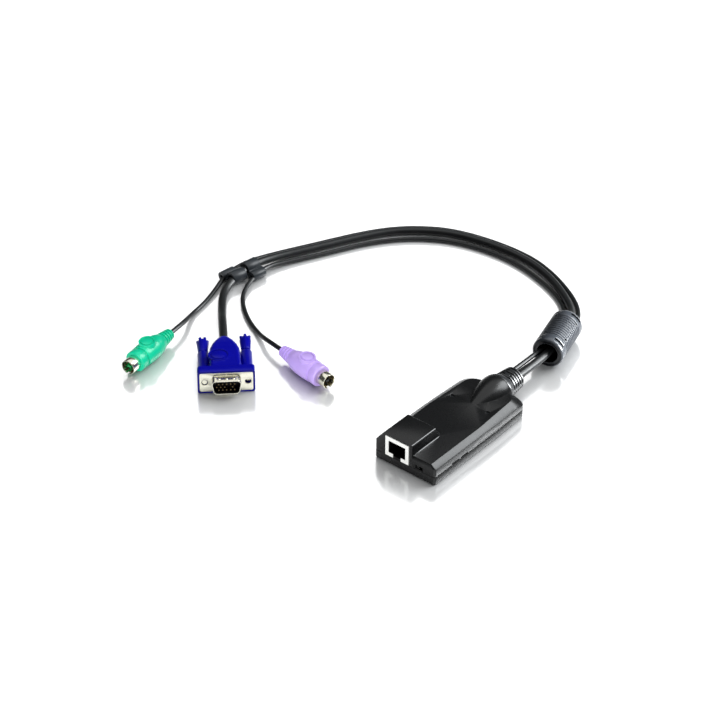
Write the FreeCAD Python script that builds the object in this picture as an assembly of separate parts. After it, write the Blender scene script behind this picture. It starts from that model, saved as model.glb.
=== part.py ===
import FreeCAD, Part
import math
import os

# Console-side switch module: a flat two-part housing with a network jack in a raised hump,
# and three cords that pass through a choke and two clips to a 15-way plug and two round plugs.
# Millimetres.  Front (jack) faces -Y, cords leave at +Y, Z up, everything rests on Z = 0.
V = FreeCAD.Vector

# ---- housing -------------------------------------------------------------------------------
HALF_W = 21.2            # half width over the straight sides
REAR_Y = 84.0            # rear face
SEAM_Z = 6.0             # joint between lower and upper housing
TOP_Z = 13.4             # flat top
BEVEL_IN = 3.3           # the bevel leaves the side walls this far in
BEVEL_SLOPE = 2.2 / 3.3  # its drop for each millimetre outward
BEVEL_FRONT = 0.9        # its width at the front
# Plans: half width in front, half width behind, end of the straight side, front face, rear face,
# front corner radius, rear corner radius
WALLS = (HALF_W, HALF_W - 0.8, 58.0, 0.0, REAR_Y, 1.8, 3.4)
CREST = (HALF_W - BEVEL_IN, HALF_W - 5.0, 45.0, BEVEL_FRONT, REAR_Y - 3.1, 0.4, 7.0)
WALL = 1.6
LIP = 0.8                # thickness of the locating lip
LIP_H = 1.0
FOOT_IN = 0.8            # rounding of the lower edge

HUMP_TOP = 20.4
HUMP_LEFT = -14.8        # left edge of the hump's flat top
HUMP_RIGHT = 5.3         # right wall of the hump
HUMP_FLANK_Z = 12.3      # where the slanting left flank meets the side
HUMP_BACK = 21.5         # end of the hump's flat top
HUMP_TOE = 27.0          # end of its rear slope
HUMP_ROUND = 3.0         # rounding between rear slope and right wall

CORD_AXIS_Z = 9.6        # height of the boot
BOOT_X = 0.9             # boot and flare stand a little right of the middle
FLARE_Z = 8.8
FLARE = [(58.0, 4.0), (66.5, 7.3), (72.4, 9.3), (77.5, 10.4), (84.0, 10.6)]
BOOT_END = 99.8
BOOT_FLAT = 16.5         # height of the boot's flat top
BOOT_NECK = 6.5
BOOT_FLANGE = 7.9
GROOVE_FIRST = 89.4
GROOVE_PITCH = 2.15
GROOVE_COUNT = 5
GROOVE_W = 0.95
GROOVE_DEEP = 1.0

# ---- network jack --------------------------------------------------------------------------
JACK_X = -5.25
JACK_W = 16.3
JACK_H = 12.8
JACK_Y0 = -0.3
JACK_Y1 = 15.2
JACK_GAP = 0.25          # clearance to the opening in the housing
PORT_W = 11.9
PORT_LOW = 2.3           # main opening, above the jack's underside
PORT_HIGH = 10.4
PORT_DEPTH = 11.6
LATCH_W = 5.6
SHEET = 0.35

# ---- circuit board -------------------------------------------------------------------------
BOARD_Z = 4.5
BOARD_T = 1.6
BOARD_TOP = BOARD_Z + BOARD_T
SCREW_SPOTS = [(HALF_W - 7.7, 24.0), (8.7 - HALF_W, 67.5)]
SCREW_R = 1.1
LAMP_X = HALF_W - 8.6
LAMP_Y = 58.8
PIPE_R = 1.3

SWITCH_X = HALF_W - 10.9
SWITCH_Z = 7.6
SWITCH_TRAVEL = 2.0

# ---- cords ---------------------------------------------------------------------------------
VIDEO_D = 5.0
THIN_D = 2.8
TRIM = 0.45              # share of the shorter run that each bend takes

VIDEO_PATH = [(1.3, BOOT_END, 9.0), (1.3, 118, 9.0), (1.2, 135.4, 9.8), (-6.7, 162.5, 10.1),
              (-18.6, 184.8, 2.7), (-48.9, 204.9, 2.55), (-80.8, 213.1, 2.55),
              (-123.1, 208.2, 2.55), (-147.5, 193.5, 2.55), (-163.2, 176.3, 2.55),
              (-182.0, 138.4, 2.55), (-193.6, 114.4, 3.0), (-198.2, 96.5, 4.6),
              (-196.0, 76.0, 4.2), (-191.5, 62.8, 2.6), (-179.5, 48.8, 2.6)]
KEYBOARD_PATH = [(-2.9, BOOT_END, 10.8), (-2.9, 117, 10.8), (-3.4, 136.7, 10.0),
                 (-10.8, 160.6, 9.9), (-23.5, 183.4, 1.6), (-44.1, 196.8, 1.5), (-80.3, 207.0, 1.5),
                 (-118.3, 202.5, 1.5), (-143.5, 187.2, 1.5), (-161.1, 166.0, 1.5),
                 (-174.8, 137.3, 1.5), (-186.7, 113.9, 1.9), (-191.2, 100.5, 3.3),
                 (-187.6, 82.0, 3.0), (-181.0, 67.8, 1.6), (-164.0, 54.2, 1.5),
                 (-148.3, 46.8, 1.5)]
MOUSE_PATH = [(-2.6, BOOT_END, 6.9), (-2.6, 117, 6.9), (-0.7, 136.1, 5.4), (-3.6, 161.5, 6.3),
              (-15.8, 189.6, 1.6), (-48.5, 209.6, 1.5), (-80.0, 218.2, 1.5),
              (-125.8, 212.6, 1.5), (-151.3, 197.0, 1.5), (-168.6, 176.5, 1.5),
              (-186.9, 140.1, 1.5), (-198.8, 115.5, 1.9), (-204.4, 97.0, 3.1),
              (-203.6, 78.5, 3.3), (-199.3, 65.5, 1.8), (-194.6, 50.0, 1.5),
              (-192.4, 35.5, 1.5)]

# ---- choke ---------------------------------------------------------------------------------
CHOKE_SPOT = (1.1, 131.1)
CHOKE_YAW = 15.8
CHOKE_R = 9.6
CHOKE_L = 35.0
CHOKE_BORE = 6.45
CHOKE_RIBS = 11

# ---- clips: spot of the large barrel, spot of the small barrel, heading --------------------
CLIP_L = 9.6
CLIP_WALL = 1.8
KEYBOARD_CLIP = ((-197.55, 94.9), (-189.65, 92.4), 6.5)
MOUSE_CLIP = ((-196.6, 81.5), (-203.55, 80.9), 7.5)

# ---- 15-way plug ---------------------------------------------------------------------------
VGA_SPOT = (-125.2, -7.5)
VGA_YAW = 44.0
VGA_BLOCK_W = 33.2
VGA_BLOCK_H = 15.0
VGA_BLOCK_D = 6.0
VGA_Z = VGA_BLOCK_H / 2
PLATE_W = 30.8
PLATE_H = 12.5
PLATE_T = 0.8
SHELL_W = 17.8           # outside of the D shell
SHELL_H = 9.2
SHELL_OUT = 5.9
SCREW_PITCH = 24.99
HOOD_END = 40.0
PAD_Z = 14.6             # flat top of the raised pads on the three plugs
SLEEVE_R = 3.4
SLEEVE_END = 27.5
SHANK_R = 1.55
TIP_R = 1.42
TIP_L = 2.6
TIP_HOLE = 1.85          # opening round each screw tip
KNOB_L = 12.8
KNOB_LEAN = 2.8          # its fingers spread towards the end
RING_T = 0.8
LEFT_BACK = 0.5          # gap between sleeve and ring, left screw
RIGHT_BACK = 1.9         # the right screw stands further back
PIN_ROWS = [(2.0, [-4.58, -2.29, 0.0, 2.29, 4.58]),
            (0.0, [-5.72, -3.43, -1.14, 3.43]),
            (-2.0, [-4.58, -2.29, 0.0, 2.29, 4.58])]

# ---- round plugs ---------------------------------------------------------------------------
MOUSE_PLUG = ((-178.8, -33.0), 6.6)
KEYBOARD_PLUG = ((-80.6, 31.0), 81.2)
DIN_Z = 6.95
DIN_SHELL_R = 4.5
DIN_STEM_R = 4.1         # the narrower stem of the shell inside the grip
DIN_BARE = 6.3           # the full-size part of the shell, in front of the grip
DIN_END = 41.5
DIN_PROFILE = [(6.5, 6.0), (7.1, 6.5), (11.6, 6.5), (11.7, 5.9), (12.6, 5.9), (12.8, 6.6),
               (18.0, 6.9), (24.0, 6.75), (28.5, 6.0), (31.8, 4.7)]
DIN_PINS = [(-1.35, 2.5), (1.35, 2.5), (-3.0, 0.1), (3.0, 0.1), (-1.9, -2.6), (1.9, -2.6)]

os.makedirs("parts", exist_ok=True)
SHIFT = -(JACK_Y0 + BOOT_END) / 2      # the housing group is centred on the origin


def box(x0, x1, y0, y1, z0, z1):
    return Part.makeBox(x1 - x0, y1 - y0, z1 - z0, V(x0, y0, z0))


def rod(x, z, r, y0, y1):
    return Part.makeCylinder(r, y1 - y0, V(x, y0, z), V(0, 1, 0))


def post(x, y, r, z0, z1):
    return Part.makeCylinder(r, z1 - z0, V(x, y, z0))


def prism(points, sweep):
    wire = Part.makePolygon([V(*p) for p in points] + [V(*points[0])])
    return Part.Face(wire).extrude(V(*sweep))


def turned(profile, x, z):
    """Solid of revolution about a line along Y from (y, radius) points."""
    pts = [V(x, y, z + r) for y, r in profile]
    ring = [V(x, profile[0][0], z)] + pts + [V(x, profile[-1][0], z)]
    face = Part.Face(Part.makePolygon(ring + [ring[0]]))
    return face.revolve(V(x, 0, z), V(0, 1, 0), 360)


def rounded(solid, radius, test):
    edges = [e for e in solid.Edges if test(e)]
    return solid.makeFillet(radius, edges)


def save(name, shape, shift=True):
    if shift:
        shape = shape.copy()
        shape.translate(V(0, SHIFT, 0))
    shape.exportStep("parts/" + name + ".step")


def placed(shape, spot, yaw):
    """Turn a plug drawn with its front at -Y and set it down."""
    out = shape.copy()
    out.rotate(V(0, 0, 0), V(0, 0, 1), yaw)
    out.translate(V(spot[0], spot[1], 0))
    return out


def behind(spot, yaw, y, z):
    """Point on a plug's centre line, y millimetres behind its front."""
    a = math.radians(yaw)
    return (spot[0] - y * math.sin(a), spot[1] + y * math.cos(a), z)


# ============================================================================ housing
def outline(plan, z, grow, ahead):
    """Closed plan outline at height z, let out by grow at sides and rear and by ahead in front."""
    w, wr, straight, y0, y1, f, r = plan
    w, wr, y0, y1 = w + grow, wr + grow, y0 - ahead, y1 + grow
    f = max(0.4, f + ahead)
    r = r + grow
    k = 1 - math.sqrt(0.5)

    def seg(a, b):
        return Part.makeLine(V(a[0], a[1], z), V(b[0], b[1], z))

    def arc(a, m, b):
        return Part.Arc(V(a[0], a[1], z), V(m[0], m[1], z), V(b[0], b[1], z)).toShape()

    edges = [seg((-w + f, y0), (w - f, y0)),
             arc((w - f, y0), (w - f * k, y0 + f * k), (w, y0 + f)),
             seg((w, y0 + f), (w, straight)),
             seg((w, straight), (wr, y1 - r)),
             arc((wr, y1 - r), (wr - r * k, y1 - r * k), (wr - r, y1)),
             seg((wr - r, y1), (-wr + r, y1)),
             arc((-wr + r, y1), (-wr + r * k, y1 - r * k), (-wr, y1 - r)),
             seg((-wr, y1 - r), (-w, straight)),
             seg((-w, straight), (-w, y0 + f)),
             arc((-w, y0 + f), (-w + f * k, y0 + f * k), (-w + f, y0))]
    return Part.Wire(edges)


def slab(z0, z1, inset):
    """Upright prism on the plan of the walls, drawn in by inset."""
    return Part.Face(outline(WALLS, z0, -inset, -inset)).extrude(V(0, 0, z1 - z0))


def bevelled(z0, t):
    """Walls cut to one even slope that falls outward from the crest, drawn in by t."""
    z1 = TOP_Z - t
    crest_in = t * math.tan(math.atan(BEVEL_SLOPE) / 2)
    drop = z1 - z0
    out = drop / BEVEL_SLOPE - crest_in
    crest = outline(CREST, z1, -crest_in, -t)
    foot = outline(CREST, z0, out, 0.41 * drop - t)
    return Part.makeLoft([foot, crest], True, True).common(slab(z0, z1, t))


def hump(t, z0):
    """Wedge over the jack: slanting left flank, upright right wall, sloping back."""
    top = HUMP_TOP - t
    back = HUMP_BACK - 0.5 * t
    run = (HUMP_TOE - HUMP_BACK) / (HUMP_TOP - TOP_Z)
    low = TOP_Z - t - 2.0
    toe = back + run * (top - low)
    side = prism([(-HALF_W, t, z0), (-HALF_W, t, top), (-HALF_W, back, top),
                  (-HALF_W, toe, low), (-HALF_W, toe, z0)], (2 * HALF_W, 0, 0))
    front = prism([(-HALF_W + t, 0, z0), (-HALF_W + t, 0, HUMP_FLANK_Z - 0.5 * t),
                   (HUMP_LEFT + 0.5 * t, 0, top), (HUMP_RIGHT - t, 0, top),
                   (HUMP_RIGHT - t, 0, z0)], (0, toe + 1, 0))
    wedge = side.common(front)

    def on_right(e):
        return all(abs(v.X - HUMP_RIGHT + t) < 0.01 for v in e.Vertexes)

    wedge = rounded(wedge, HUMP_ROUND - t, lambda e: on_right(e)
                    and abs(e.Vertexes[0].Z - e.Vertexes[-1].Z) > 1
                    and abs(e.Vertexes[0].Y - e.Vertexes[-1].Y) > 1)
    if t:
        return wedge
    return rounded(wedge, 0.9, lambda e: on_right(e) and e.BoundBox.ZMin > top - 0.1
                   and e.Length > 5)


def bullet(stations, x, z):
    """Smooth solid of revolution about a line along Y through (y, radius) stations."""
    curve = Part.BSplineCurve()
    curve.interpolate([V(x, y, z + r) for y, r in stations])
    first, last = stations[0], stations[-1]
    a, b = V(x, first[0], z), V(x, last[0], z)
    wire = Part.Wire([Part.makeLine(a, a + V(0, 0, first[1])), curve.toShape(),
                      Part.makeLine(b + V(0, 0, last[1]), b), Part.makeLine(b, a)])
    return Part.Face(wire).revolve(V(x, 0, z), V(0, 1, 0), 360)


def flare(t, z0):
    """Bullet-shaped fairing over the cord entry, upper part only."""
    body = bullet([(y, r - t) for y, r in FLARE], BOOT_X, FLARE_Z)
    return body.common(box(-HALF_W, HALF_W, 50, REAR_Y, z0, 40))


def upper_solid(t, z0):
    return bevelled(z0, t).fuse([hump(t, z0).common(slab(z0, 30, t)), flare(t, z0)])


upper_outer = upper_solid(0, SEAM_Z)
upper_inner = upper_solid(WALL, SEAM_Z - 1).cut(box(-30, 30, REAR_Y - WALL, REAR_Y + 6, 0, 40))
jack_z1 = BOARD_TOP + JACK_H
jack_hole = box(JACK_X - JACK_W / 2 - JACK_GAP, JACK_X + JACK_W / 2 + JACK_GAP,
                -1, JACK_Y1 + JACK_GAP, SEAM_Z - 0.1, jack_z1 + JACK_GAP)
switch_hole = box(SWITCH_X - 2.6, SWITCH_X + 2.6, -1, WALL + 1.2, SWITCH_Z - 1.2, SWITCH_Z + 1.2)
neck_hole = rod(BOOT_X, CORD_AXIS_Z, BOOT_NECK, REAR_Y - WALL - 2, REAR_Y + 2)
rabbet = slab(SEAM_Z - 0.1, SEAM_Z + LIP_H + 0.1, LIP)
upper = upper_outer.cut([upper_inner, rabbet, jack_hole, switch_hole, neck_hole])
for x in (-LAMP_X, LAMP_X):
    upper = upper.cut(post(x, LAMP_Y, PIPE_R, TOP_Z - 3, TOP_Z + 1))
for x, y in SCREW_SPOTS:
    boss = post(x, y, 2.7, BOARD_TOP, TOP_Z - WALL + 0.2).cut(
        post(x, y, SCREW_R, BOARD_TOP - 1, TOP_Z - WALL - 1))
    upper = upper.fuse(boss)
for y0, y1 in ((15.6, 21.9), (23.6, 30.0)):
    upper = upper.cut(box(HALF_W - 0.6, HALF_W + 1, y0, y1, SEAM_Z, SEAM_Z + 1.0))
save("upper_housing", upper)

foot = outline(WALLS, 0, -FOOT_IN, -FOOT_IN)
waist = outline(WALLS, 1.0, 0, 0)
lower = Part.makeLoft([foot, waist], True, True).fuse(slab(1.0, SEAM_Z, 0))
lower = lower.cut(slab(WALL, SEAM_Z + 1, WALL))
lower = lower.fuse(slab(SEAM_Z, SEAM_Z + LIP_H, LIP + 0.05).cut(
    slab(SEAM_Z - 0.5, SEAM_Z + 2, WALL)))
groove = slab(SEAM_Z - 0.35, SEAM_Z, -1).cut(slab(SEAM_Z - 1, SEAM_Z + 1, 0.3))
lower = lower.cut([groove, neck_hole,
                   box(JACK_X - JACK_W / 2 - 1, JACK_X + JACK_W / 2 + 1, 0.5, 3, SEAM_Z, 9),
                   box(SWITCH_X - 3, SWITCH_X + 3, 0.5, 3, SEAM_Z, 9)])
for x, y in SCREW_SPOTS:
    tube = post(x, y, 3.0, 0, BOARD_Z).cut(post(x, y, SCREW_R + 0.15, 0, BOARD_Z))
    lower = lower.cut(post(x, y, 2.3, -1, WALL)).fuse(tube.cut(post(x, y, 2.3, -1, WALL)))
    lower = lower.cut(post(x, y, SCREW_R + 0.15, -1, BOARD_Z))
for x in (5.2 - HALF_W, HALF_W - 5.2):
    lower = lower.fuse(box(x - 0.6, x + 0.6, 8, 50, WALL - 0.2, BOARD_Z))
save("lower_housing", lower)

for name, (x, y) in zip(("right_case_screw", "left_case_screw"), SCREW_SPOTS):
    screw = post(x, y, 2.1, 0.3, WALL).fuse(post(x, y, SCREW_R, WALL, TOP_Z - WALL - 1.3))
    save(name, screw)

# ============================================================================ board and jack
board_w = HALF_W - 2.6
board_corner = REAR_Y - 32
board_end = REAR_Y - 12
board = prism([(-board_w, 2.0, BOARD_Z), (board_w, 2.0, BOARD_Z),
               (board_w, board_corner, BOARD_Z), (board_w - 2.1, board_end, BOARD_Z),
               (2.1 - board_w, board_end, BOARD_Z), (-board_w, board_corner, BOARD_Z)],
              (0, 0, BOARD_T))
for x, y in SCREW_SPOTS:
    board = board.cut(post(x, y, SCREW_R + 0.4, BOARD_Z - 1, BOARD_TOP + 1))
save("circuit_board", board)


def port(y0, y1, low):
    """Stepped opening of the jack: wide for the plug, narrow for its latch."""
    main = box(JACK_X - PORT_W / 2, JACK_X + PORT_W / 2, y0, y1,
               BOARD_TOP + PORT_LOW, BOARD_TOP + PORT_HIGH)
    latch = box(JACK_X - LATCH_W / 2, JACK_X + LATCH_W / 2, y0, y1,
                BOARD_TOP + low, BOARD_TOP + PORT_LOW + 0.1)
    return main.fuse(latch)


jack_outer = box(JACK_X - JACK_W / 2, JACK_X + JACK_W / 2, JACK_Y0, JACK_Y1, BOARD_TOP, jack_z1)
jack_inner = box(JACK_X - JACK_W / 2 + SHEET, JACK_X + JACK_W / 2 - SHEET, JACK_Y0 + SHEET,
                 JACK_Y1 + 1, BOARD_TOP + SHEET, jack_z1 - SHEET)
shield = jack_outer.cut([jack_inner, port(JACK_Y0 - 1, JACK_Y0 + SHEET, -0.1)])
shield = shield.cut(box(JACK_X - LATCH_W / 2, JACK_X + LATCH_W / 2, JACK_Y0 - 1, 1.7,
                        BOARD_TOP - 0.1, BOARD_TOP + 1))
save("jack_shield", shield)
insert = box(JACK_X - JACK_W / 2 + SHEET, JACK_X + JACK_W / 2 - SHEET, JACK_Y0 + SHEET,
             JACK_Y1, BOARD_TOP + SHEET, jack_z1 - SHEET)
insert = insert.cut(port(JACK_Y0, PORT_DEPTH, 0.9))
save("jack_insert", insert)
contacts = []
ceiling = BOARD_TOP + PORT_HIGH
for i in range(8):
    x = JACK_X + (i - 3.5) * 1.02 - 0.2
    contacts.append(prism([(x, 2.2, ceiling), (x, 2.9, ceiling), (x, 9.6, ceiling - 2.4),
                           (x, PORT_DEPTH, ceiling - 2.4), (x, PORT_DEPTH, ceiling - 2.75),
                           (x, 9.4, ceiling - 2.75)], (0.4, 0, 0)))
save("jack_contacts", Part.makeCompound(contacts))

slot = box(SWITCH_X - 2.1, SWITCH_X + 2.1, 1.8, 4.2, SWITCH_Z - 0.8, SWITCH_Z + 0.8)
save("switch_body", box(SWITCH_X - 4.3, SWITCH_X + 4.3, 2.0, 5.6, BOARD_TOP, 9.4).cut(slot))
knob_x = SWITCH_X - SWITCH_TRAVEL / 2
save("switch_knob", box(knob_x - 0.9, knob_x + 0.9, 0.5, 4.2, SWITCH_Z - 0.75, SWITCH_Z + 0.75))

lamps = []
for name, x in (("left_light_pipe", -LAMP_X), ("right_light_pipe", LAMP_X)):
    collar = TOP_Z - WALL
    save(name, post(x, LAMP_Y, PIPE_R, BOARD_TOP + 0.9, TOP_Z - 0.7).fuse(
        post(x, LAMP_Y, 1.9, collar - 0.7, collar)))
    lamps.append(box(x - 1.5, x + 1.5, LAMP_Y - 0.8, LAMP_Y + 0.8, BOARD_TOP, BOARD_TOP + 0.9))
save("status_lamps", Part.makeCompound(lamps))
save("logic_chip", box(0, 12, 32, 44, BOARD_TOP, BOARD_TOP + 1.4))
save("video_chip", box(-13, -4, 34, 43, BOARD_TOP, BOARD_TOP + 1.2))
save("crystal", rounded(box(-13, -2, 22, 26.6, BOARD_TOP, BOARD_TOP + 3.5), 1.5,
                        lambda e: abs(e.Vertexes[0].Z - e.Vertexes[1].Z) > 3))
header_y = board_end - 6.0
save("video_header", box(-0.5, 7.5, header_y - 8, header_y, BOARD_TOP, BOARD_TOP + 4.6))
save("peripheral_header", box(-8.5, -1.5, header_y - 8, header_y, BOARD_TOP, BOARD_TOP + 5.2))
leads = [rod(2.2, BOARD_TOP + 2.6, 1.9, header_y, REAR_Y - WALL - 2.0),
         rod(-3.4, BOARD_TOP + 4.0, 1.0, header_y, REAR_Y - WALL - 2.0),
         rod(-5.2, BOARD_TOP + 1.6, 1.0, header_y, REAR_Y - WALL - 2.0)]
save("inner_leads", Part.makeCompound(leads))

# ============================================================================ boot
boot_in = REAR_Y - WALL
boot = turned([(boot_in - 2.0, BOOT_FLANGE), (boot_in, BOOT_FLANGE), (boot_in, BOOT_NECK),
               (REAR_Y, BOOT_NECK), (REAR_Y, 9.8), (85.2, 9.6), (86.6, 9.1), (88.2, 8.1),
               (BOOT_END - 0.6, 7.0), (BOOT_END, 6.4)], BOOT_X, CORD_AXIS_Z)
boot = boot.cut([box(-20, 20, GROOVE_FIRST - GROOVE_PITCH / 2, BOOT_END + 1, BOOT_FLAT, 30),
                 box(-20, 20, REAR_Y, BOOT_END, -5, 0.2)])
for i in range(GROOVE_COUNT):
    y = GROOVE_FIRST + i * GROOVE_PITCH
    y0, y1 = y - GROOVE_W / 2, y + GROOVE_W / 2
    core = rod(BOOT_X, CORD_AXIS_Z, 7.8 - 0.17 * i - GROOVE_DEEP, y0, y1)
    core = core.common(box(-20, 20, y0, y1, 0, BOOT_FLAT - GROOVE_DEEP))
    groove = rod(BOOT_X, CORD_AXIS_Z, 12, y0, y1).cut([core, box(-20, 20, y0, y1, 8.7, 10.1)])
    if i % 2:
        groove = groove.cut(box(BOOT_X - 1.0, BOOT_X + 2.3, y0, y1, CORD_AXIS_Z, 30))
    boot = boot.cut(groove)
save("cable_boot", boot)


# ============================================================================ cords
def tube(name, path, d):
    """Straight runs joined by tangent arcs, swept with a round section."""
    pts = [V(*p) for p in path]
    edges = []
    radii = []
    last = pts[0]
    for i in range(1, len(pts) - 1):
        a = pts[i - 1] - pts[i]
        b = pts[i + 1] - pts[i]
        trim = TRIM * min(a.Length, b.Length)
        turn = math.pi - a.getAngle(b)
        radii.append(trim / math.tan(turn / 2))
        ua = a * (1 / a.Length)
        ub = b * (1 / b.Length)
        p = pts[i] + ua * trim
        q = pts[i] + ub * trim
        half = (ua + ub) * (1 / (ua + ub).Length)
        mid = pts[i] + half * (math.hypot(radii[-1], trim) - radii[-1])
        edges.append(Part.LineSegment(last, p).toShape())
        edges.append(Part.Arc(p, mid, q).toShape())
        last = q
    edges.append(Part.LineSegment(last, pts[-1]).toShape())
    spine = Part.Wire(edges)
    start = pts[1] - pts[0]
    section = Part.Wire([Part.makeCircle(d / 2, pts[0], start)])
    solid = spine.makePipeShell([section], True, False)
    ratio = solid.Volume / (math.pi * d * d / 4 * spine.Length)
    print(name, "length %.1f" % spine.Length, "least radius %.1f" % min(radii),
          "volume ratio %.4f" % ratio)
    save(name, solid)


video_end = behind(VGA_SPOT, VGA_YAW, HOOD_END, VGA_Z)
video_lead = behind(VGA_SPOT, VGA_YAW, HOOD_END + 18.4, VGA_Z)
tube("video_cord", VIDEO_PATH + [video_lead, video_end], VIDEO_D)
keyboard_end = behind(*KEYBOARD_PLUG, DIN_END, DIN_Z)
keyboard_lead = behind(*KEYBOARD_PLUG, DIN_END + 13.0, DIN_Z)
tube("keyboard_cord", KEYBOARD_PATH + [keyboard_lead, keyboard_end], THIN_D)
mouse_end = behind(*MOUSE_PLUG, DIN_END, DIN_Z)
mouse_lead = behind(*MOUSE_PLUG, DIN_END + 13.0, DIN_Z)
tube("mouse_cord", MOUSE_PATH + [mouse_lead, mouse_end], THIN_D)

# ============================================================================ choke
cover_profile = [(0.0, 8.7), (0.5, 9.3), (1.3, CHOKE_R)]
rib_zone = 22.0
pitch = rib_zone / CHOKE_RIBS
first = (CHOKE_L - rib_zone) / 2
for i in range(CHOKE_RIBS):
    y = first + i * pitch
    cover_profile += [(y, CHOKE_R), (y + 0.35, CHOKE_R - 0.45), (y + 1.0, CHOKE_R - 0.45),
                      (y + 1.35, CHOKE_R)]
cover_profile += [(CHOKE_L - 2.6, CHOKE_R), (CHOKE_L - 1.0, CHOKE_R - 0.8), (CHOKE_L, 7.6)]
cover = turned(cover_profile, 0, CHOKE_R)
dish = rod(0, CHOKE_R, CHOKE_BORE + 1.8, -1, 0.7).cut(rod(0, CHOKE_R, CHOKE_BORE + 0.4, -1, 0.7))
cover = cover.cut([rod(0, CHOKE_R, CHOKE_BORE, -1, CHOKE_L + 1), dish,
                   rod(0, CHOKE_R, CHOKE_R - 1.3, 1.6, CHOKE_L - 1.6)])
for y in (3.6, CHOKE_L - 3.6):
    for turn in (-72, 18, 108, 198):
        arc = Part.makeCylinder(CHOKE_R + 1, 1.5, V(0, y - 0.75, CHOKE_R), V(0, 1, 0), 44)
        arc = arc.cut(rod(0, CHOKE_R, CHOKE_R - 1.2, y - 1, y + 1))
        arc.rotate(V(0, 0, CHOKE_R), V(0, 1, 0), turn)
        cover = cover.cut(arc)
save("choke_cover", placed(cover, CHOKE_SPOT, CHOKE_YAW))
core = rod(0, CHOKE_R, CHOKE_R - 1.3, 1.6, CHOKE_L - 1.6).cut(
    rod(0, CHOKE_R, CHOKE_BORE, 0, CHOKE_L))
save("choke_core", placed(core, CHOKE_SPOT, CHOKE_YAW))


# ============================================================================ clips
def clip(name, large, small, heading):
    """Figure-of-eight clip: a barrel on each cord and a web between them."""
    big_r = VIDEO_D / 2 + CLIP_WALL
    small_r = THIN_D / 2 + CLIP_WALL
    a = math.radians(heading)
    ahead = V(math.sin(a), math.cos(a), 0)
    pa = V(large[0], large[1], big_r) - ahead * (CLIP_L / 2)
    pb = V(small[0], small[1], small_r) - ahead * (CLIP_L / 2)
    body = Part.makeCylinder(big_r, CLIP_L, pa, ahead)
    body = body.fuse(Part.makeCylinder(small_r, CLIP_L, pb, ahead))
    link = pb - pa
    across = V(ahead.y, -ahead.x, 0)
    reach = link.dot(across)
    web = Part.makeBox(abs(reach), CLIP_L, 2.4, V(min(0, reach), 0, -1.2))
    web.rotate(V(0, 0, 0), V(0, 0, 1), -heading)
    web.translate(V(pa.x, pa.y, (pa.z + pb.z) / 2))
    body = body.fuse(web)
    back = ahead * -1.0
    body = body.cut([Part.makeCylinder(VIDEO_D / 2, CLIP_L + 2, pa + back, ahead),
                     Part.makeCylinder(THIN_D / 2, CLIP_L + 2, pb + back, ahead)])
    save(name, body)


clip("keyboard_clip", *KEYBOARD_CLIP)
clip("mouse_clip", *MOUSE_CLIP)


# ============================================================================ 15-way plug
def d_section(y, grow, depth):
    """D-shaped prism with its wide side up, from y over the given depth."""
    w = SHELL_W / 2 + grow
    h = SHELL_H / 2 + grow
    lean = 2 * h * math.tan(math.radians(10))
    body = prism([(-w, y, VGA_Z + h), (w, y, VGA_Z + h), (w - lean, y, VGA_Z - h),
                  (-w + lean, y, VGA_Z - h)], (0, depth, 0))
    return rounded(body, 2.5 + grow, lambda e: abs(e.Vertexes[0].Y - e.Vertexes[1].Y) > depth / 2)


def plate(w, h, y0, y1, r):
    body = box(-w / 2, w / 2, y0, y1, VGA_Z - h / 2, VGA_Z + h / 2)
    return rounded(body, r, lambda e: abs(e.Vertexes[0].Y - e.Vertexes[1].Y) > (y1 - y0) / 2)


def vga(name, shape):
    save(name, placed(shape, VGA_SPOT, VGA_YAW))


shell = plate(PLATE_W, PLATE_H, 0, PLATE_T, 1.0)
shell = shell.fuse([d_section(-SHELL_OUT, 0, SHELL_OUT), d_section(PLATE_T, 0.6, 4.0)])
for x in (-4.2, 0, 4.2):
    shell = shell.fuse(Part.makeSphere(1.1, V(x, -3.4, VGA_Z + SHELL_H / 2 - 0.75)))
shell = shell.cut(d_section(-SHELL_OUT - 1, -0.4, 12))
for x in (-SCREW_PITCH / 2, SCREW_PITCH / 2):
    shell = shell.cut(rod(x, VGA_Z, TIP_HOLE, -1, PLATE_T + 1))
vga("video_plug_shell", shell)

insulator = d_section(-0.6, -0.4, 7.4)
pins = []
for z, xs in PIN_ROWS:
    for x in xs:
        insulator = insulator.cut(rod(x, VGA_Z + z, 0.38, -2, 9))
        pins.append(rod(x, VGA_Z + z, 0.38, -5.2, 8.0))
vga("video_plug_insulator", insulator)
vga("video_plug_pins", Part.makeCompound(pins))


def hood_section(y, w, h, r):
    """Rounded rectangle wire across the plug."""
    z0, z1 = VGA_Z - h, VGA_Z + h
    k = r * (1 - math.sqrt(0.5))
    corners = [((w - r, z0), (w - k, z0 + k), (w, z0 + r)),
               ((w, z1 - r), (w - k, z1 - k), (w - r, z1)),
               ((-w + r, z1), (-w + k, z1 - k), (-w, z1 - r)),
               ((-w, z0 + r), (-w + k, z0 + k), (-w + r, z0))]
    edges = []
    for i, (a, m, b) in enumerate(corners):
        nxt = corners[(i + 1) % 4][0]
        edges.append(Part.Arc(*[V(x, y, z) for x, z in (a, m, b)]).toShape())
        edges.append(Part.makeLine(V(b[0], y, b[1]), V(nxt[0], y, nxt[1])))
    return Part.Wire(edges)


def pad(x, y, across, along):
    """Raised oval pad with a ring groove in its flat top, for the top of a plug."""
    def oval(a, b, z0, z1):
        disc = post(0, 0, 1.0, z0, z1)
        spread = FreeCAD.Matrix()
        spread.scale(V(a, b, 1))
        disc = disc.transformGeometry(spread)
        disc.translate(V(x, y, 0))
        return disc

    ring = oval(across - 1.0, along - 1.0, PAD_Z - 0.5, PAD_Z + 1)
    ring = ring.cut(oval(across - 1.7, along - 1.7, PAD_Z - 0.6, PAD_Z + 1))
    return oval(across, along, DIN_Z + 4.0, PAD_Z).cut(ring)


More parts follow.
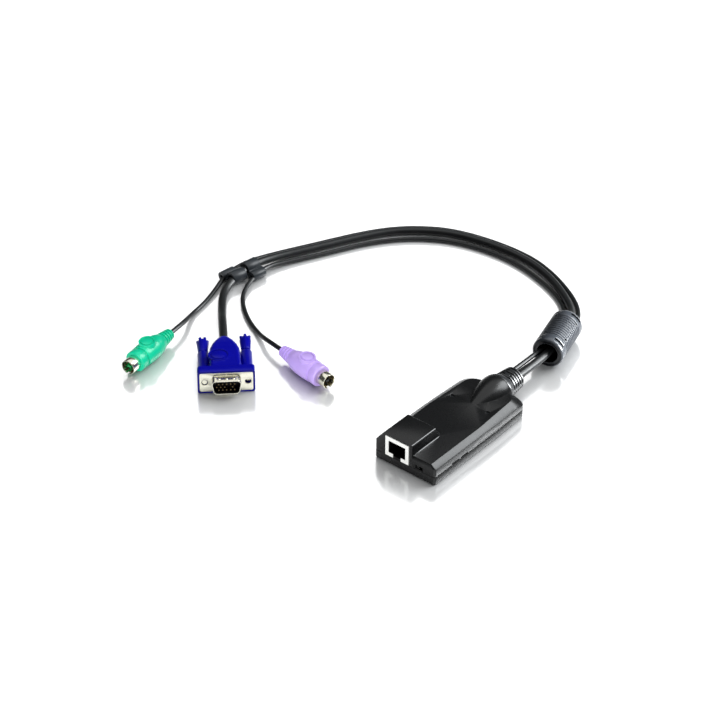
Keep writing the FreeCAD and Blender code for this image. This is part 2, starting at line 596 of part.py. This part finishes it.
block = plate(VGA_BLOCK_W, VGA_BLOCK_H, 0, VGA_BLOCK_D, 1.6)
stations = [(VGA_BLOCK_D - 0.5, 9.5, 6.9, 2.2), (16.0, 9.0, 6.8, 2.4), (22.5, 8.95, 6.7, 2.6),
            (27.0, 8.6, 6.5, 2.8), (31.5, 7.4, 6.1, 3.0), (35.5, 5.9, 5.5, 3.3),
            (38.5, 4.5, 4.8, 3.5), (HOOD_END, 3.7, 4.3, 3.4)]
hood = block.fuse(Part.makeLoft([hood_section(*s) for s in stations], True, True))
hood = hood.fuse(pad(-3.6, 17.7, 6.2, 5.75))
for x in (-SCREW_PITCH / 2, SCREW_PITCH / 2):
    hood = hood.fuse(rod(x, VGA_Z, SLEEVE_R, VGA_BLOCK_D - 0.5, SLEEVE_END))
hood = hood.cut([plate(PLATE_W, PLATE_H, -1, PLATE_T, 1.0), d_section(-1, 0.6, 5.8),
                 d_section(-1, -0.4, 10)])
for x in (-SCREW_PITCH / 2, SCREW_PITCH / 2):
    hood = hood.cut([rod(x, VGA_Z, TIP_HOLE, -1, PLATE_T + 3),
                     rod(x, VGA_Z, SHANK_R + 0.05, -1, SLEEVE_END + 1)])
vga("video_plug_hood", hood)

for side, x, back, first in (("left", -SCREW_PITCH / 2, LEFT_BACK, 0),
                             ("right", SCREW_PITCH / 2, RIGHT_BACK, 30)):
    ring_y = SLEEVE_END + back
    knob_y = ring_y + RING_T
    crown_y = knob_y + KNOB_L
    vga(side + "_screw_ring", rod(x, VGA_Z, 2.6, ring_y, knob_y).cut(
        rod(x, VGA_Z, SHANK_R + 0.05, 0, 60)))
    shank = rod(x, VGA_Z, SHANK_R, back + TIP_L, knob_y + 8)
    tip = rod(x, VGA_Z, TIP_R, back, back + TIP_L)
    vga(side + "_screw", shank.fuse(tip))
    grip = turned([(knob_y, 2.5), (knob_y + 1.0, 2.8), (crown_y - 3.4, 3.4),
                   (crown_y - 1.9, 3.2), (crown_y - 1.4, 2.2)], x, VGA_Z)
    for i in range(6):
        finger = turned([(knob_y + 0.3, 0.6), (crown_y - 0.6, 0.9), (crown_y, 0.45)], x + 2.25, VGA_Z)
        finger.rotate(V(x + 2.25, knob_y, VGA_Z), V(0, 0, 1), -KNOB_LEAN)
        finger.rotate(V(x, 0, VGA_Z), V(0, 1, 0), 60 * i + first)
        grip = grip.fuse(finger)
    vga(side + "_screw_knob", grip.cut(rod(x, VGA_Z, SHANK_R, 0, knob_y + 8)))


# ============================================================================ round plugs
def round_plug(prefix, spot, yaw):
    profile = list(DIN_PROFILE)
    for i in range(4):
        y = 33.0 + i * 2.2
        r = 4.6 - 0.33 * i
        profile += [(y - 0.5, r), (y - 0.3, r - 0.9), (y + 0.35, r - 0.95), (y + 0.6, r - 0.12)]
    profile += [(DIN_END - 0.5, 3.2), (DIN_END, 2.6)]
    stem_end = DIN_BARE + 5.2
    grip = turned(profile, 0, DIN_Z).fuse(pad(0, 19.1, 4.9, 5.3))
    grip = grip.cut(rod(0, DIN_Z, DIN_STEM_R, 0, stem_end))
    save(prefix + "_plug_grip", placed(grip, spot, yaw))
    inner = DIN_SHELL_R - 0.4
    step = DIN_BARE - 0.4
    hollow = rod(0, DIN_Z, inner, -1, step).fuse(rod(0, DIN_Z, DIN_STEM_R - 0.3, step, 12))
    din_shell = rod(0, DIN_Z, DIN_SHELL_R, 0, DIN_BARE).fuse(
        rod(0, DIN_Z, DIN_STEM_R, DIN_BARE, stem_end)).cut(hollow)
    din_shell = din_shell.cut(box(-0.9, 0.9, -1, 1.6, 0, DIN_Z))
    save(prefix + "_plug_shell", placed(din_shell, spot, yaw))
    body = hollow.common(rod(0, DIN_Z, inner, 5.2, stem_end))
    body = body.fuse(box(-1.1, 1.1, 1.2, 5.4, DIN_Z - 0.6, DIN_Z + 0.7))
    prongs = []
    for x, z in DIN_PINS:
        body = body.cut(rod(x, DIN_Z + z, 0.45, 4, 9.5))
        prongs.append(rod(x, DIN_Z + z, 0.45, 1.0, 9.5))
    save(prefix + "_plug_insert", placed(body, spot, yaw))
    save(prefix + "_plug_pins", placed(Part.makeCompound(prongs), spot, yaw))


round_plug("mouse", *MOUSE_PLUG)
round_plug("keyboard", *KEYBOARD_PLUG)
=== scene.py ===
import math

import bpy
import numpy as np
from mathutils import Matrix, Vector


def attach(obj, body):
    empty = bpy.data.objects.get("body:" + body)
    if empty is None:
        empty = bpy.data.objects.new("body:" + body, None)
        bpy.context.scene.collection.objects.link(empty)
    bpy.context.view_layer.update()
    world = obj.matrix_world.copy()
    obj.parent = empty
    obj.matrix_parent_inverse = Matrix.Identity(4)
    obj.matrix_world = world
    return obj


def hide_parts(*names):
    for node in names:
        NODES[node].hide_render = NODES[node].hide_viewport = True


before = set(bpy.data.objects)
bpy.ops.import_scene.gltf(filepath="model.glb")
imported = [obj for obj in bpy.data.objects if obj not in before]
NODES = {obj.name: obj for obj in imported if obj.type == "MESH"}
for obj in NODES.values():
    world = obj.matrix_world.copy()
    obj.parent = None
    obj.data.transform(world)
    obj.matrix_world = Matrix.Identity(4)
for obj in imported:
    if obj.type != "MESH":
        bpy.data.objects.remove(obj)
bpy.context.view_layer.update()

# Lengths are in mm of the plan, whose y = 0 is the housing's front face, until MM makes them
# metres and ROW_Y moves them to the row's origin.
MM = 0.001
ROW_Y = -49.75
TOP_Z = 13.4                                # the housing's flat top
HUMP_TOP, HUMP_RIGHT = 20.4, 5.3            # the hump's top and its right wall
CHOKE_SPOT, CHOKE_YAW, CHOKE_R = (1.1, 131.1), 15.8, 9.6
VGA_SPOT, VGA_YAW, VGA_Z = (-125.2, -7.5), 44.0, 7.5
MOUSE_SPOT, MOUSE_YAW = (-178.8, -33.0), 6.6
KEYBOARD_SPOT, KEYBOARD_YAW = (-80.6, 31.0), 81.2
DIN_Z = 6.95                                # height of both round plugs' centre lines
BOOT_END, HOOD_END, DIN_END = 99.8, 40.0, 41.5      # where the cords come out
HOOD_LEAD, DIN_LEAD = 18.4, 13.0            # how far they run straight behind the plugs


# ------------------------------------------------------------------ finishes
MOTTLE_SCALE = 350          # clouds per metre
COAT_ROUGH = 0.12


def linear(r, g, b):
    """sRGB values from 0 to 255 as a linear colour with alpha 1."""
    c = np.array([r, g, b]) / 255
    c = np.where(c <= 0.04045, c / 12.92, ((c + 0.055) / 1.055) ** 2.4)
    return (*c, 1.0)


def finish(name, colour, rough, metal=0.0, grain=0.0, grain_size=0.4, coat=0.0, level=0.5,
           mottle=0.0, sub=0.0):
    """Principled finish. grain is the depth in mm of a bump grain_size mm across, mottle the
    share by which clouds vary the roughness, and sub the share of light that goes 1 mm in."""
    mat = bpy.data.materials.new(name)
    mat.use_nodes = True
    tree = mat.node_tree
    shader = tree.nodes["Principled BSDF"]
    shader.inputs["Base Color"].default_value = colour
    shader.inputs["Roughness"].default_value = rough
    shader.inputs["Metallic"].default_value = metal
    shader.inputs["Coat Weight"].default_value = coat
    shader.inputs["Coat Roughness"].default_value = COAT_ROUGH
    shader.inputs["Specular IOR Level"].default_value = level
    if sub:
        shader.inputs["Subsurface Weight"].default_value = sub
        shader.inputs["Subsurface Radius"].default_value = (1.0, 1.0, 1.0)
        shader.inputs["Subsurface Scale"].default_value = MM
    place = tree.nodes.new("ShaderNodeTexCoord")
    if mottle:
        cloud = tree.nodes.new("ShaderNodeTexNoise")
        cloud.inputs["Scale"].default_value = MOTTLE_SCALE
        spread = tree.nodes.new("ShaderNodeMapRange")
        spread.inputs["To Min"].default_value = rough * (1 - mottle)
        spread.inputs["To Max"].default_value = rough * (1 + mottle)
        tree.links.new(place.outputs["Object"], cloud.inputs["Vector"])
        tree.links.new(cloud.outputs["Fac"], spread.inputs["Value"])
        tree.links.new(spread.outputs["Result"], shader.inputs["Roughness"])
    if grain:
        noise = tree.nodes.new("ShaderNodeTexNoise")
        noise.inputs["Scale"].default_value = 1 / (grain_size * MM)
        noise.inputs["Detail"].default_value = 2
        bump = tree.nodes.new("ShaderNodeBump")
        bump.inputs["Distance"].default_value = grain * MM
        tree.links.new(place.outputs["Object"], noise.inputs["Vector"])
        tree.links.new(noise.outputs["Fac"], bump.inputs["Height"])
        tree.links.new(bump.outputs["Normal"], shader.inputs["Normal"])
    return mat


HOUSING = finish("grained_black", linear(23, 24, 25), 0.28, grain=0.004, grain_size=0.3,
                 mottle=0.12)
# Glossier, slightly lighter black for strips along the hump's right wall: a painted highlight
# line.
EDGE = finish("painted_highlight_edge", linear(30, 31, 33), 0.14, mottle=0.1, level=0.7)
# Green of the mouse plug's insulator, made brighter than its own colour: painted light in the
# plug's shaded hollow.
INSERT_GREEN_PAINTED_LIGHT = finish("green_insert_painted_light", linear(30, 225, 125), 0.3, mottle=0.1)
BOOT = finish("moulded_black", linear(25, 26, 27), 0.27, mottle=0.1)
CORD = finish("cord_jacket", linear(26, 28, 29), 0.36, mottle=0.15)
CHOKE = finish("choke_moulding", linear(50, 53, 58), 0.26, mottle=0.1, level=0.8)
CLIP = finish("clip_moulding", linear(52, 57, 62), 0.38, mottle=0.1)
PLATED = finish("nickel_plate", linear(250, 247, 228), 0.2, metal=0.95, mottle=0.2)
JACK_PLATE = finish("jack_plate", linear(250, 249, 244), 0.3, metal=0.35, mottle=0.1)
GOLD = finish("contact_plate", linear(120, 104, 72), 0.4, metal=0.8)
BLACK = finish("black_insulator", linear(14, 14, 14), 0.35, mottle=0.1)
BLUE = finish("blue_moulding", linear(3, 5, 172), 0.3, grain=0.006, mottle=0.1, level=0.2)
GREEN = finish("green_moulding", linear(6, 198, 150), 0.3, grain=0.006, sub=0.1)
LILAC = finish("lilac_moulding", linear(190, 163, 230), 0.32, grain=0.006, sub=0.1)
BOARD = finish("board_green", linear(20, 92, 52), 0.35, mottle=0.1)
WHITE = finish("natural_nylon", linear(232, 228, 214), 0.4, mottle=0.1)
PIPE = finish("smoked_clear", linear(40, 42, 44), 0.15, coat=0.5, mottle=0.1)
STEEL = finish("dark_screw", linear(120, 120, 124), 0.3, metal=1.0, mottle=0.1)
# Near-black of the choke's core; also the painted shade sunk in the choke's slots and the dark
# discs of its gate marks.
FERRITE_AND_SHADE = finish("ferrite_and_painted_shade", linear(3, 3, 3), 0.9, mottle=0.1, level=0.05)


# ------------------------------------------------------------------ solids as they come
WELD = 2e-6                         # metres
CREASE = math.radians(30)           # steeper edges stay sharp or get the bevel


def dress(material, names, bevel=0.0):
    """Gives CAD nodes a finish, smooth shading and edges that are rounded bevel mm wide, or
    stay sharp where bevel is 0."""
    for name in names.split():
        o = NODES[name]
        o.data.materials.clear()
        o.data.materials.append(material)
        o.data.polygons.foreach_set("use_smooth", np.ones(len(o.data.polygons), dtype=bool))
        weld = o.modifiers.new("Weld", "WELD")
        weld.merge_threshold = WELD
        if not bevel:
            split = o.modifiers.new("Edges", "EDGE_SPLIT")
            split.split_angle = CREASE
        else:
            soft = o.modifiers.new("Bevel", "BEVEL")
            soft.width = bevel * MM
            soft.segments = 2
            soft.limit_method = "ANGLE"
            soft.angle_limit = CREASE
            soft.harden_normals = True
            soft.use_clamp_overlap = True


dress(HOUSING, "upper_housing lower_housing", 0.25)
dress(BOOT, "cable_boot", 0.12)
dress(JACK_PLATE, "jack_shield")
dress(PLATED, "crystal left_screw right_screw")
dress(PLATED, "video_plug_shell mouse_plug_shell keyboard_plug_shell", 0.08)
dress(BLACK, "jack_insert switch_body switch_knob logic_chip video_chip")
dress(BLACK, "video_plug_insulator keyboard_plug_insert")
dress(INSERT_GREEN_PAINTED_LIGHT, "mouse_plug_insert")
dress(GOLD, "jack_contacts video_plug_pins mouse_plug_pins keyboard_plug_pins")
dress(BOARD, "circuit_board")
dress(WHITE, "video_header peripheral_header")
dress(WHITE, "status_lamps")
dress(PIPE, "left_light_pipe right_light_pipe")
dress(STEEL, "left_case_screw right_case_screw")
dress(CORD, "inner_leads")
dress(CHOKE, "choke_cover", 0.06)
dress(FERRITE_AND_SHADE, "choke_core")
dress(CLIP, "keyboard_clip mouse_clip", 0.3)
dress(BLUE, "video_plug_hood", 0.3)
dress(BLUE,
      "left_screw_knob right_screw_knob left_screw_ring right_screw_ring", 0.15)
dress(GREEN, "mouse_plug_grip", 0.15)
dress(LILAC, "keyboard_plug_grip", 0.15)


# ------------------------------------------------------------------ cords
def behind(spot, yaw, y, z):
    """Point of the plan on a plug's centre line, y mm behind its front and z mm up."""
    a = math.radians(yaw)
    return (spot[0] - y * math.sin(a), spot[1] + y * math.cos(a), z)


VIDEO_PATH = [(1.3, BOOT_END, 9.0), (1.3, 118, 9.0), (1.2, 135.4, 9.8), (-6.7, 162.5, 10.1),
              (-18.6, 184.8, 2.7), (-48.9, 204.9, 2.55), (-80.8, 213.1, 2.55),
              (-123.1, 208.2, 2.55), (-147.5, 193.5, 2.55), (-163.2, 176.3, 2.55),
              (-182.0, 138.4, 2.55), (-193.6, 114.4, 3.0), (-198.2, 96.5, 4.6),
              (-196.0, 76.0, 4.2), (-191.5, 62.8, 2.6), (-179.5, 48.8, 2.6),
              behind(VGA_SPOT, VGA_YAW, HOOD_END + HOOD_LEAD, VGA_Z),
              behind(VGA_SPOT, VGA_YAW, HOOD_END, VGA_Z)]
KEYBOARD_PATH = [(-2.9, BOOT_END, 10.8), (-2.9, 117, 10.8), (-3.4, 136.7, 10.0),
                 (-10.8, 160.6, 9.9), (-23.5, 183.4, 1.6), (-44.1, 196.8, 1.5),
                 (-80.3, 207.0, 1.5), (-118.3, 202.5, 1.5), (-143.5, 187.2, 1.5),
                 (-161.1, 166.0, 1.5), (-174.8, 137.3, 1.5), (-186.7, 113.9, 1.9),
                 (-191.2, 100.5, 3.3), (-187.6, 82.0, 3.0), (-181.0, 67.8, 1.6),
                 (-164.0, 54.2, 1.5), (-148.3, 46.8, 1.5),
                 behind(KEYBOARD_SPOT, KEYBOARD_YAW, DIN_END + DIN_LEAD, DIN_Z),
                 behind(KEYBOARD_SPOT, KEYBOARD_YAW, DIN_END, DIN_Z)]
MOUSE_PATH = [(-2.6, BOOT_END, 6.9), (-2.6, 117, 6.9), (-0.7, 136.1, 5.4), (-3.6, 161.5, 6.3),
              (-15.8, 189.6, 1.6), (-48.5, 209.6, 1.5), (-80.0, 218.2, 1.5),
              (-125.8, 212.6, 1.5), (-151.3, 197.0, 1.5), (-168.6, 176.5, 1.5),
              (-186.9, 140.1, 1.5), (-198.8, 115.5, 1.9), (-204.4, 97.0, 3.1),
              (-203.6, 78.5, 3.3), (-199.3, 65.5, 1.8), (-194.6, 50.0, 1.5),
              (-192.4, 35.5, 1.5),
              behind(MOUSE_SPOT, MOUSE_YAW, DIN_END + DIN_LEAD, DIN_Z),
              behind(MOUSE_SPOT, MOUSE_YAW, DIN_END, DIN_Z)]


def lay_cord(name, path, diameter):
    """A round cord along a smooth curve, with the path's points as its control points."""
    points = [(x * MM, (y + ROW_Y) * MM, z * MM) for x, y, z in path]
    curve = bpy.data.curves.new(name, "CURVE")
    curve.dimensions = "3D"
    spline = curve.splines.new("NURBS")
    spline.points.add(len(points) - 1)
    for point, spot in zip(spline.points, points):
        point.co = (*spot, 1)
    spline.order_u = 3
    spline.use_endpoint_u = True
    spline.resolution_u = 12
    curve.bevel_depth = diameter / 2 * MM
    curve.bevel_resolution = 5
    curve.materials.append(CORD)
    o = bpy.data.objects.new(name + "_jacket", curve)
    bpy.context.collection.objects.link(o)
    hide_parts(name)
    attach(o, "root")


lay_cord("video_cord", VIDEO_PATH, 5.0)
lay_cord("keyboard_cord", KEYBOARD_PATH, 2.8)
lay_cord("mouse_cord", MOUSE_PATH, 2.8)


# ------------------------------------------------------------------ small pieces on the solids
def placed(points, spot, yaw):
    """Points in mm about a spot of the plan, turned by yaw degrees, as metres of the row."""
    a = math.radians(yaw)
    p = np.asarray(points, float)
    x = spot[0] + p[..., 0] * math.cos(a) - p[..., 1] * math.sin(a)
    y = spot[1] + p[..., 0] * math.sin(a) + p[..., 1] * math.cos(a) + ROW_Y
    return np.stack([x, y, p[..., 2]], axis=-1) * MM


def arc(middle, r, first, last, steps):
    """Points of an arc about a middle (x, z), between two angles in degrees."""
    turns = np.radians(first + (last - first) * np.arange(steps + 1) / steps)
    return [(middle[0] + r * math.cos(t), middle[1] + r * math.sin(t)) for t in turns]


def loft(name, rings, material, ends=True):
    """Closed skin through equal rings of points, given in metres, on the body root."""
    rings = np.asarray(rings, float)
    n, m = rings.shape[:2]
    faces = [(i * m + j, i * m + (j + 1) % m, (i + 1) * m + (j + 1) % m, (i + 1) * m + j)
             for i in range(n - 1) for j in range(m)]
    if ends:
        faces += [tuple(range(m))[::-1], tuple((n - 1) * m + j for j in range(m))]
    mesh = bpy.data.meshes.new(name)
    mesh.from_pydata(rings.reshape(-1, 3).tolist(), [], faces)
    mesh.materials.append(material)
    mesh.polygons.foreach_set("use_smooth", np.ones(len(mesh.polygons), dtype=bool))
    o = bpy.data.objects.new(name, mesh)
    bpy.context.collection.objects.link(o)
    split = o.modifiers.new("Edges", "EDGE_SPLIT")
    split.split_angle = math.radians(35)
    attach(o, "root")


SHELL_HALF_W, SHELL_HALF_H, SHELL_LEAN = 8.9, 4.6, 10.0     # outside of the plug's D shell


def rounded_d(inset, r):
    """D outline of the plug's shell, drawn in by inset: wide side up, corners of radius r."""
    w, h = SHELL_HALF_W - inset, SHELL_HALF_H - inset
    lean = 2 * h * math.tan(math.radians(SHELL_LEAN))
    corners = np.array([(w, h), (-w, h), (-w + lean, -h), (w - lean, -h)])
    out = []
    for i, c in enumerate(corners):
        to_last = corners[i - 1] - c
        to_next = corners[(i + 1) % 4] - c
        to_last, to_next = to_last / np.hypot(*to_last), to_next / np.hypot(*to_next)
        half = math.acos(np.clip(to_last @ to_next, -1, 1)) / 2
        middle = c + (to_last + to_next) / np.hypot(*(to_last + to_next)) * r / math.sin(half)
        a, b = (c + t * r / math.tan(half) - middle for t in (to_last, to_next))
        turn = math.atan2(a[0] * b[1] - a[1] * b[0], a @ b)
        for k in range(7):
            t = turn * k / 6
            out.append(middle + (a[0] * math.cos(t) - a[1] * math.sin(t),
                                 a[0] * math.sin(t) + a[1] * math.cos(t)))
    return np.array(out)


def lining():
    """Black collar over the inner walls of the video plug's shell: painted shade in the D's
    opening.
    """
    outer, inner = rounded_d(0.43, 2.1), rounded_d(0.75, 1.8)
    back, front = -0.65, -5.5
    rings = []
    for y, outline in ((back, outer), (front, outer), (front, inner), (back, inner),
                       (back, outer)):
        rings.append(placed([(x, y, VGA_Z + z) for x, z in outline], VGA_SPOT, VGA_YAW))
    loft("video_plug_lining", rings, BLACK, ends=False)


def along_housing(name, sections):
    """Skin in the painted-highlight finish through sections (y, [(x, z), ...]) across the
    housing.
    """
    rings = [np.array([(x, y + ROW_Y, z) for x, z in section]) * MM for y, section in sections]
    loft(name, rings, EDGE)


def hump_fillet():
    """Hollow rounding at the foot of the hump's right wall, which runs out at both ends, in the
    finish of a painted highlight line.
    """
    sunk = 0.03         # its corner lies this far inside the housing
    full, ends = 0.9, 0.3
    sections = []
    for y, r in ((1.3, ends), (2.0, full), (8.0, full), (16.0, full), (22.5, full),
                 (24.3, ends)):
        corner = (HUMP_RIGHT - sunk, TOP_Z - sunk)
        sections.append((y, [corner] + arc((HUMP_RIGHT + r, TOP_Z + r), r, 180, 270, 8)))
    along_housing("hump_fillet", sections)


def hump_edge():
    """Rounding along the hump's upper right edge, just proud of the housing's own, in the
    finish of a painted highlight line.
    """
    r, proud = 0.9, 0.02
    middle = (HUMP_RIGHT - r, HUMP_TOP - r)
    section = [middle] + arc(middle, r + proud, 5, 85, 10)
    along_housing("hump_edge", [(y, section) for y in (0.35, 5.0, 10.0, 15.0, 20.9)])


def choke_marks():
    """Dark sheets of painted shade on the bottoms of the choke's two slots that show, and dark
    discs in its two round gate marks.
    """
    half_slot, slot_depth, slot_turns = 0.73, 0.6, np.linspace(28.5, 71.5, 15)
    mark_r, mark_height, mark_turn = 0.65, 36, 3.9      # the last is mark_r in degrees round

    def on_choke(y, height, out):
        """Point y mm along the choke, height degrees above its right side, out mm proud."""
        a, r = math.radians(height), CHOKE_R + out
        return placed((r * math.cos(a), y, CHOKE_R + r * math.sin(a)), CHOKE_SPOT, CHOKE_YAW)

    for i, y in enumerate((3.6, 31.4)):
        rings = [[on_choke(y + dy, h, out)
                  for dy, out in ((-half_slot, -slot_depth), (half_slot, -slot_depth),
                                  (half_slot, 0.0), (-half_slot, 0.0))]
                 for h in slot_turns]
        # Dark sheet sunk into the slot: painted shade.
        loft("choke_slot_%d" % (i + 1), rings, FERRITE_AND_SHADE)
    turns = np.linspace(0, 2 * math.pi, 16, endpoint=False)
    for i, y in enumerate((9.5, 26.75)):
        rings = [[on_choke(y + mark_r * math.sin(t), mark_height + mark_turn * math.cos(t), out)
                  for t in turns] for out in (-0.5, 0.05)]
        loft("choke_mark_%d" % (i + 1), rings, FERRITE_AND_SHADE)


lining()
choke_marks()
hump_fillet()
hump_edge()


# ------------------------------------------------------------------ floor, light and camera
def make_floor():
    """White floor: a matt base under a clear polish that mirrors what stands on it."""
    half, matt_white, polish_rough, polish_share = 4.0, 0.52, 0.17, 0.23
    mesh = bpy.data.meshes.new("floor")
    mesh.from_pydata([(-half, -half, 0), (half, -half, 0), (half, half, 0), (-half, half, 0)],
                     [], [(0, 1, 2, 3)])
    floor = bpy.data.objects.new("floor", mesh)
    bpy.context.collection.objects.link(floor)
    mat = bpy.data.materials.new("white_floor")
    mat.use_nodes = True
    nodes, links = mat.node_tree.nodes, mat.node_tree.links
    nodes.clear()
    matt = nodes.new("ShaderNodeBsdfDiffuse")
    matt.inputs["Color"].default_value = (matt_white, matt_white, matt_white, 1)
    polish = nodes.new("ShaderNodeBsdfGlossy")
    polish.inputs["Color"].default_value = (1, 1, 1, 1)
    polish.inputs["Roughness"].default_value = polish_rough
    mix = nodes.new("ShaderNodeMixShader")
    mix.inputs["Fac"].default_value = polish_share
    out = nodes.new("ShaderNodeOutputMaterial")
    links.new(matt.outputs["BSDF"], mix.inputs[1])
    links.new(polish.outputs["BSDF"], mix.inputs[2])
    links.new(mix.outputs["Shader"], out.inputs["Surface"])
    mesh.materials.append(mat)
    return floor


LIGHT_COLOUR = (0.95, 0.98, 1.0)
MIDDLE = Vector((-0.09, 0.05, 0.0))         # of the object as it lies, in metres


def add_light(name, data, facing, only=None):
    """A light turned to shine along facing, on every object or on those in only."""
    o = bpy.data.objects.new(name, data)
    o.rotation_euler = facing.to_track_quat("-Z", "Y").to_euler()
    bpy.context.collection.objects.link(o)
    if only:
        lit = bpy.data.collections.new(name + "_lights")
        for target in only:
            lit.objects.link(target)
        o.light_linking.receiver_collection = lit
    return o


def softbox(name, direction, distance, size, power, only=None):
    """Square soft light in the given direction from the middle, facing it. Metres and watts."""
    data = bpy.data.lights.new(name, "AREA")
    data.shape = "SQUARE"
    data.size = size
    data.energy = power
    data.color = LIGHT_COLOUR
    aim = Vector(direction).normalized()
    add_light(name, data, -aim, only).location = MIDDLE + aim * distance


def sky(name, strength, spread, direction, only):
    """Broad even light on the objects in only, spread degrees wide about a direction."""
    data = bpy.data.lights.new(name, "SUN")
    data.energy = strength
    data.angle = math.radians(spread)
    add_light(name, data, -Vector(direction), only)


def set_camera():
    """Camera at azimuth 39.5 and elevation 35.5 degrees, about 1.6 m from the object."""
    data = bpy.data.cameras.new("camera")
    data.sensor_width = 36
    data.lens = 136.67
    data.clip_end = 20
    right = Vector((0.77053, 0.63739, 0.00362)).normalized()
    up = Vector((-0.37219, 0.44530, 0.81436)).normalized()
    ahead = up.cross(right)
    turn = Matrix((right, up, -ahead)).transposed().to_4x4()
    turn.translation = Vector((741.33, ROW_Y - 939.89, 928.76)) * MM
    o = bpy.data.objects.new("camera", data)
    o.matrix_world = turn
    bpy.context.collection.objects.link(o)
    bpy.context.scene.camera = o


def set_world():
    """Faint white surroundings, shown in plain display colours."""
    world = bpy.data.worlds.new("studio")
    world.use_nodes = True
    background = world.node_tree.nodes["Background"]
    background.inputs["Color"].default_value = (1, 1, 1, 1)
    background.inputs["Strength"].default_value = 0.05
    bpy.context.scene.world = world
    bpy.context.scene.view_settings.view_transform = "Standard"


floor = make_floor()
part = [o for o in bpy.data.objects if o.type in ("MESH", "CURVE") and o != floor]
cords = [o for o in part if o.name.endswith("_jacket")]
fronts = [NODES[n] for n in "jack_shield mouse_plug_grip keyboard_plug_grip".split()]
choke, boot = NODES["choke_cover"], NODES["cable_boot"]

sky("ceiling", 0.9, 70, (-0.1, 0.1, 1.0), part)
sky("floor_sky", 3.7, 80, (-0.28, 0.48, 0.78), [floor])
softbox("right_softbox", (0.45, 0.60, 0.66), 1.2, 0.70, 13)
softbox("plate_glow", (0.60, -0.54, 0.58), 1.6, 1.3, 11, [floor])
softbox("front_fill", (0.35, -0.85, 0.42), 1.6, 1.2, 27, fronts)
softbox("side_light", (0.80, 0.50, 0.26), 1.2, 0.6, 70, [choke, boot])
softbox("rear_light", (0.62, 0.74, 0.22), 1.2, 0.5, 20, [boot] + cords)
set_camera()
set_world()
